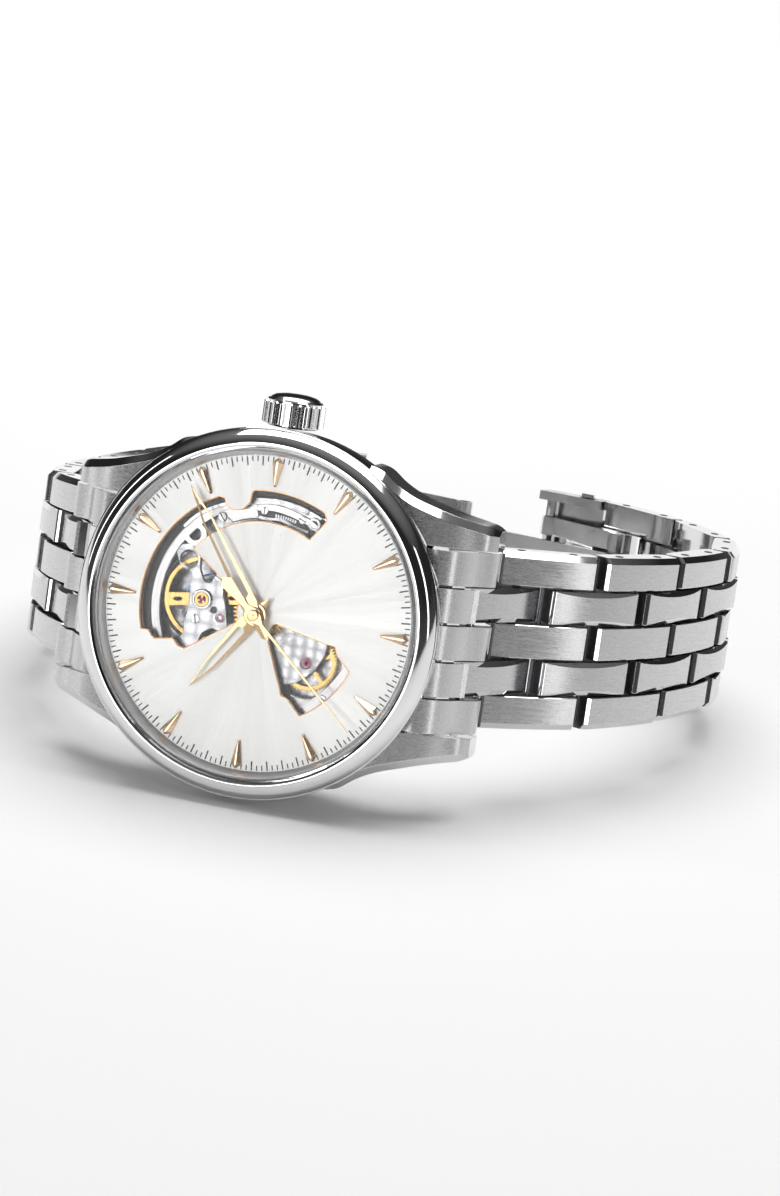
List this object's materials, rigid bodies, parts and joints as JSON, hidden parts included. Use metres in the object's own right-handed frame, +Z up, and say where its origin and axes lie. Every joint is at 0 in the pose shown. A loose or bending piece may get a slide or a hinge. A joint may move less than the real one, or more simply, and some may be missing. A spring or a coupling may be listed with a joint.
{
  "type": "wristwatch",
  "caption": "Round automatic wristwatch with a steel bracelet and folding clasp; two dial windows show the moving gear train and balance.",
  "frame": {"origin": "middle of the footprint, on the floor the watch lies on", "axes": "-Y is the side the dial faces, tipped up about nine degrees; +Z up, which is the crown side; -X is the dial's twelve o'clock"},
  "size_m": [0.0792, 0.0834, 0.0431],
  "materials": {
    "steel_polished": "polished stainless steel",
    "steel_brushed": "brushed stainless steel",
    "gold": "polished gold-coloured",
    "dial_silver": "silver sunray brushing with gold-coloured raised hour marks",
    "sapphire": "clear",
    "spring_blue": "blued steel",
    "movement_steel": "satin nickel-plated"
  },
  "bodies": {
    "case": {"case_body": "steel_brushed", "bezel": "steel_polished", "crystal": "sapphire", "flange_ring": "steel_brushed", "dial": "dial_silver", "case_back": "steel_brushed", "back_crystal": "sapphire", "movement_ring": "movement_steel", "main_plate": "movement_steel", "dial_side_rim": "movement_steel", "train_bridge": "movement_steel", "balance_bridge": "movement_steel", "rotor_bridge": "movement_steel", "six_end_link": "steel_brushed", "twelve_end_link": "steel_brushed", "hairspring": "spring_blue"},
    "hour_train": {"hour_wheel": "gold", "hour_hand": "gold"},
    "minute_train": {"cannon_pinion": "steel_polished", "minute_hand": "gold"},
    "seconds_hand": {"seconds_hand": "gold"},
    "third_wheel": {"third_wheel": "gold"},
    "escape_wheel": {"escape_wheel": "movement_steel"},
    "balance": {"balance_wheel": "gold"},
    "pallet_fork": {"pallet_fork": "movement_steel"},
    "barrel": {"mainspring_barrel": "gold"},
    "rotor": {"rotor": "movement_steel"},
    "stem": {"winding_stem": "steel_polished"},
    "crown": {"crown": "steel_polished"},
    "six_inner_link_1": {"six_inner_link_1": "steel_brushed"},
    "six_outer_link_1": {"six_outer_link_1": "steel_brushed"},
    "six_inner_link_2": {"six_inner_link_2": "steel_brushed"},
    "six_outer_link_2": {"six_outer_link_2": "steel_brushed"},
    "six_inner_link_3": {"six_inner_link_3": "steel_brushed"},
    "six_outer_link_3": {"six_outer_link_3": "steel_brushed"},
    "six_inner_link_4": {"six_inner_link_4": "steel_brushed"},
    "six_outer_link_4": {"six_outer_link_4": "steel_brushed"},
    "six_inner_link_5": {"six_inner_link_5": "steel_brushed"},
    "six_outer_link_5": {"six_outer_link_5": "steel_brushed"},
    "six_inner_link_6": {"six_inner_link_6": "steel_brushed"},
    "six_outer_link_6": {"six_outer_link_6": "steel_brushed"},
    "six_end_frame": {"six_end_frame": "steel_polished"},
    "six_blade": {"six_blade": "steel_polished"},
    "twelve_inner_link_1": {"twelve_inner_link_1": "steel_brushed"},
    "twelve_outer_link_1": {"twelve_outer_link_1": "steel_brushed"},
    "twelve_inner_link_2": {"twelve_inner_link_2": "steel_brushed"},
    "twelve_outer_link_2": {"twelve_outer_link_2": "steel_brushed"},
    "twelve_inner_link_3": {"twelve_inner_link_3": "steel_brushed"},
    "twelve_outer_link_3": {"twelve_outer_link_3": "steel_brushed"},
    "twelve_inner_link_4": {"twelve_inner_link_4": "steel_brushed"},
    "twelve_outer_link_4": {"twelve_outer_link_4": "steel_brushed"},
    "twelve_inner_link_5": {"twelve_inner_link_5": "steel_brushed"},
    "twelve_outer_link_5": {"twelve_outer_link_5": "steel_brushed"},
    "twelve_inner_link_6": {"twelve_inner_link_6": "steel_brushed"},
    "twelve_outer_link_6": {"twelve_outer_link_6": "steel_brushed"},
    "twelve_end_frame": {"twelve_end_frame": "steel_polished"},
    "twelve_blade": {"twelve_blade": "steel_polished"},
    "clasp_base_plate": {"clasp_base_plate": "steel_polished"},
    "upper_push_button": {"upper_push_button": "steel_polished"},
    "lower_push_button": {"lower_push_button": "steel_polished"}
  },
  "joints": [
    {"name": "seconds_turn", "type": "hinge", "parent": "case", "child": "seconds_hand", "pos_m": [-0.00402, -0.03733, 0.02059], "axis": [0, -0.9793, 0.2023], "continuous": true},
    {"name": "minute_turn", "type": "hinge", "parent": "case", "child": "minute_train", "pos_m": [-0.00402, -0.03703, 0.02053], "axis": [0, -0.9793, 0.2023], "continuous": true},
    {"name": "hour_turn", "type": "hinge", "parent": "case", "child": "hour_train", "pos_m": [-0.00402, -0.03664, 0.02045], "axis": [0, -0.9793, 0.2023], "continuous": true},
    {"name": "third_wheel_turn", "type": "hinge", "parent": "case", "child": "third_wheel", "pos_m": [0.00173, -0.03457, 0.01542], "axis": [0, -0.9793, 0.2023], "continuous": true},
    {"name": "escape_wheel_turn", "type": "hinge", "parent": "case", "child": "escape_wheel", "pos_m": [-0.00462, -0.03251, 0.02266], "axis": [0, -0.9793, 0.2023], "continuous": true},
    {"name": "barrel_turn", "type": "hinge", "parent": "case", "child": "barrel", "pos_m": [0.00138, -0.03216, 0.02585], "axis": [0, -0.9793, 0.2023], "continuous": true},
    {"name": "balance_swing", "type": "hinge", "parent": "case", "child": "balance", "pos_m": [-0.01062, -0.03354, 0.02016], "axis": [0, -0.9793, 0.2023], "range_deg": [-150, 150], "stiffness_Nm_per_rad": 0.000002},
    {"name": "pallet_rock", "type": "hinge", "parent": "case", "child": "pallet_fork", "pos_m": [-0.00712, -0.03273, 0.02158], "axis": [0, -0.9793, 0.2023], "range_deg": [-5, 5]},
    {"name": "rotor_swing", "type": "hinge", "parent": "case", "child": "rotor", "pos_m": [-0.00402, -0.02998, 0.01907], "axis": [0, -0.9793, 0.2023], "continuous": true},
    {"name": "crown_pull", "type": "slide", "parent": "case", "child": "stem", "axis": [0, 0.2023, 0.9793], "range_m": [0, 0.0012]},
    {"name": "crown_turn", "type": "hinge", "parent": "stem", "child": "crown", "pos_m": [-0.00402, -0.02818, 0.04065], "axis": [0, 0.2023, 0.9793], "continuous": true},
    {"name": "six_hinge_01", "type": "hinge", "parent": "case", "child": "six_inner_link_1", "pos_m": [0.01728, -0.0276, 0.01858], "axis": [0, 0.2023, 0.9793], "range_deg": [-12, 2.5]},
    {"name": "six_hinge_02", "type": "hinge", "parent": "six_inner_link_1", "child": "six_outer_link_1", "pos_m": [0.02064, -0.02268, 0.01785], "axis": [0, 0.2023, 0.9793], "range_deg": [-12, 2.5]},
    {"name": "six_hinge_03", "type": "hinge", "parent": "six_outer_link_1", "child": "six_inner_link_2", "pos_m": [0.02578, -0.01959, 0.0175], "axis": [0, 0.2023, 0.9793], "range_deg": [-12, 2.5]},
    {"name": "six_hinge_04", "type": "hinge", "parent": "six_inner_link_2", "child": "six_outer_link_2", "pos_m": [0.02999, -0.01535, 0.01692], "axis": [0, 0.2023, 0.9793], "range_deg": [-12, 2.5]},
    {"name": "six_hinge_05", "type": "hinge", "parent": "six_outer_link_2", "child": "six_inner_link_3", "pos_m": [0.03322, -0.01034, 0.01617], "axis": [0, 0.2023, 0.9793], "range_deg": [-12, 2.5]},
    {"name": "six_hinge_06", "type": "hinge", "parent": "six_inner_link_3", "child": "six_outer_link_3", "pos_m": [0.0353, -0.00477, 0.01531], "axis": [0, 0.2023, 0.9793], "range_deg": [-12, 2.5]},
    {"name": "six_hinge_07", "type": "hinge", "parent": "six_outer_link_3", "child": "six_inner_link_4", "pos_m": [0.03685, 0.00096, 0.01441], "axis": [0, 0.2023, 0.9793], "range_deg": [-12, 2.5]},
    {"name": "six_hinge_08", "type": "hinge", "parent": "six_inner_link_4", "child": "six_outer_link_4", "pos_m": [0.03768, 0.00684, 0.01349], "axis": [0, 0.2023, 0.9793], "range_deg": [-12, 2.5]},
    {"name": "six_hinge_09", "type": "hinge", "parent": "six_outer_link_4", "child": "six_inner_link_5", "pos_m": [0.0368, 0.01271, 0.01257], "axis": [0, 0.2023, 0.9793], "range_deg": [-12, 2.5]},
    {"name": "six_hinge_10", "type": "hinge", "parent": "six_inner_link_5", "child": "six_outer_link_5", "pos_m": [0.03436, 0.01813, 0.01174], "axis": [0, 0.2023, 0.9793], "range_deg": [-12, 2.5]},
    {"name": "six_hinge_11", "type": "hinge", "parent": "six_outer_link_5", "child": "six_inner_link_6", "pos_m": [0.03083, 0.02294, 0.01103], "axis": [0, 0.2023, 0.9793], "range_deg": [-12, 2.5]},
    {"name": "six_hinge_12", "type": "hinge", "parent": "six_inner_link_6", "child": "six_outer_link_6", "pos_m": [0.02644, 0.02701, 0.01048], "axis": [0, 0.2023, 0.9793], "range_deg": [-12, 2.5]},
    {"name": "six_hinge_13", "type": "hinge", "parent": "six_outer_link_6", "child": "six_end_frame", "pos_m": [0.02125, 0.03, 0.01015], "axis": [0, 0.2023, 0.9793], "range_deg": [-12, 2.5]},
    {"name": "six_blade_hinge", "type": "hinge", "parent": "six_end_frame", "child": "six_blade", "pos_m": [0.01185, 0.03193, 0.00976], "axis": [0, 0.2023, 0.9793], "range_deg": [-40, 0]},
    {"name": "twelve_hinge_01", "type": "hinge", "parent": "case", "child": "twelve_inner_link_1", "pos_m": [-0.02612, -0.02778, 0.01862], "axis": [0, 0.2023, 0.9793], "range_deg": [-2.5, 12]},
    {"name": "twelve_hinge_02", "type": "hinge", "parent": "twelve_inner_link_1", "child": "twelve_outer_link_1", "pos_m": [-0.02934, -0.02286, 0.01742], "axis": [0, 0.2023, 0.9793], "range_deg": [-2.5, 12]},
    {"name": "twelve_hinge_03", "type": "hinge", "parent": "twelve_outer_link_1", "child": "twelve_inner_link_2", "pos_m": [-0.03283, -0.0181, 0.0163], "axis": [0, 0.2023, 0.9793], "range_deg": [-2.5, 12]},
    {"name": "twelve_hinge_04", "type": "hinge", "parent": "twelve_inner_link_2", "child": "twelve_outer_link_2", "pos_m": [-0.03564, -0.01293, 0.01515], "axis": [0, 0.2023, 0.9793], "range_deg": [-2.5, 12]},
    {"name": "twelve_hinge_05", "type": "hinge", "parent": "twelve_outer_link_2", "child": "twelve_inner_link_3", "pos_m": [-0.03699, -0.00721, 0.01397], "axis": [0, 0.2023, 0.9793], "range_deg": [-2.5, 12]},
    {"name": "twelve_hinge_06", "type": "hinge", "parent": "twelve_inner_link_3", "child": "twelve_outer_link_3", "pos_m": [-0.03773, -0.00135, 0.01286], "axis": [0, 0.2023, 0.9793], "range_deg": [-2.5, 12]},
    {"name": "twelve_hinge_07", "type": "hinge", "parent": "twelve_outer_link_3", "child": "twelve_inner_link_4", "pos_m": [-0.03783, 0.00456, 0.01183], "axis": [0, 0.2023, 0.9793], "range_deg": [-2.5, 12]},
    {"name": "twelve_hinge_08", "type": "hinge", "parent": "twelve_inner_link_4", "child": "twelve_outer_link_4", "pos_m": [-0.03741, 0.01048, 0.01092], "axis": [0, 0.2023, 0.9793], "range_deg": [-2.5, 12]},
    {"name": "twelve_hinge_09", "type": "hinge", "parent": "twelve_outer_link_4", "child": "twelve_inner_link_5", "pos_m": [-0.03653, 0.01638, 0.01013], "axis": [0, 0.2023, 0.9793], "range_deg": [-2.5, 12]},
    {"name": "twelve_hinge_10", "type": "hinge", "parent": "twelve_inner_link_5", "child": "twelve_outer_link_5", "pos_m": [-0.0351, 0.0222, 0.00948], "axis": [0, 0.2023, 0.9793], "range_deg": [-2.5, 12]},
    {"name": "twelve_hinge_11", "type": "hinge", "parent": "twelve_outer_link_5", "child": "twelve_inner_link_6", "pos_m": [-0.03286, 0.02777, 0.00898], "axis": [0, 0.2023, 0.9793], "range_deg": [-2.5, 12]},
    {"name": "twelve_hinge_12", "type": "hinge", "parent": "twelve_inner_link_6", "child": "twelve_outer_link_6", "pos_m": [-0.02941, 0.03274, 0.00872], "axis": [0, 0.2023, 0.9793], "range_deg": [-2.5, 12]},
    {"name": "twelve_hinge_13", "type": "hinge", "parent": "twelve_outer_link_6", "child": "twelve_end_frame", "pos_m": [-0.02456, 0.03636, 0.00884], "axis": [0, 0.2023, 0.9793], "range_deg": [-2.5, 12]},
    {"name": "twelve_blade_hinge", "type": "hinge", "parent": "twelve_end_frame", "child": "twelve_blade", "pos_m": [-0.01513, 0.03813, 0.00847], "axis": [0, 0.2023, 0.9793], "range_deg": [-60, 35]},
    {"name": "base_plate_hinge", "type": "hinge", "parent": "six_blade", "child": "clasp_base_plate", "pos_m": [0.02134, 0.02606, 0.01097], "axis": [0, 0.2023, 0.9793], "range_deg": [0, 60]},
    {"name": "upper_button_press", "type": "slide", "parent": "six_end_frame", "child": "upper_push_button", "axis": [0, -0.2023, -0.9793], "range_m": [0, 0.0005], "stiffness_N_per_m": 200},
    {"name": "lower_button_press", "type": "slide", "parent": "six_end_frame", "child": "lower_push_button", "axis": [0, 0.2023, 0.9793], "range_m": [0, 0.0005], "stiffness_N_per_m": 200}
  ],
  "couplings": [
    {"joint": "minute_turn", "follows": "seconds_turn", "ratio": 0.016667},
    {"joint": "hour_turn", "follows": "seconds_turn", "ratio": 0.0013889},
    {"joint": "third_wheel_turn", "follows": "seconds_turn", "ratio": -0.13333},
    {"joint": "escape_wheel_turn", "follows": "seconds_turn", "ratio": -10},
    {"joint": "barrel_turn", "follows": "seconds_turn", "ratio": -0.0025}
  ]
}
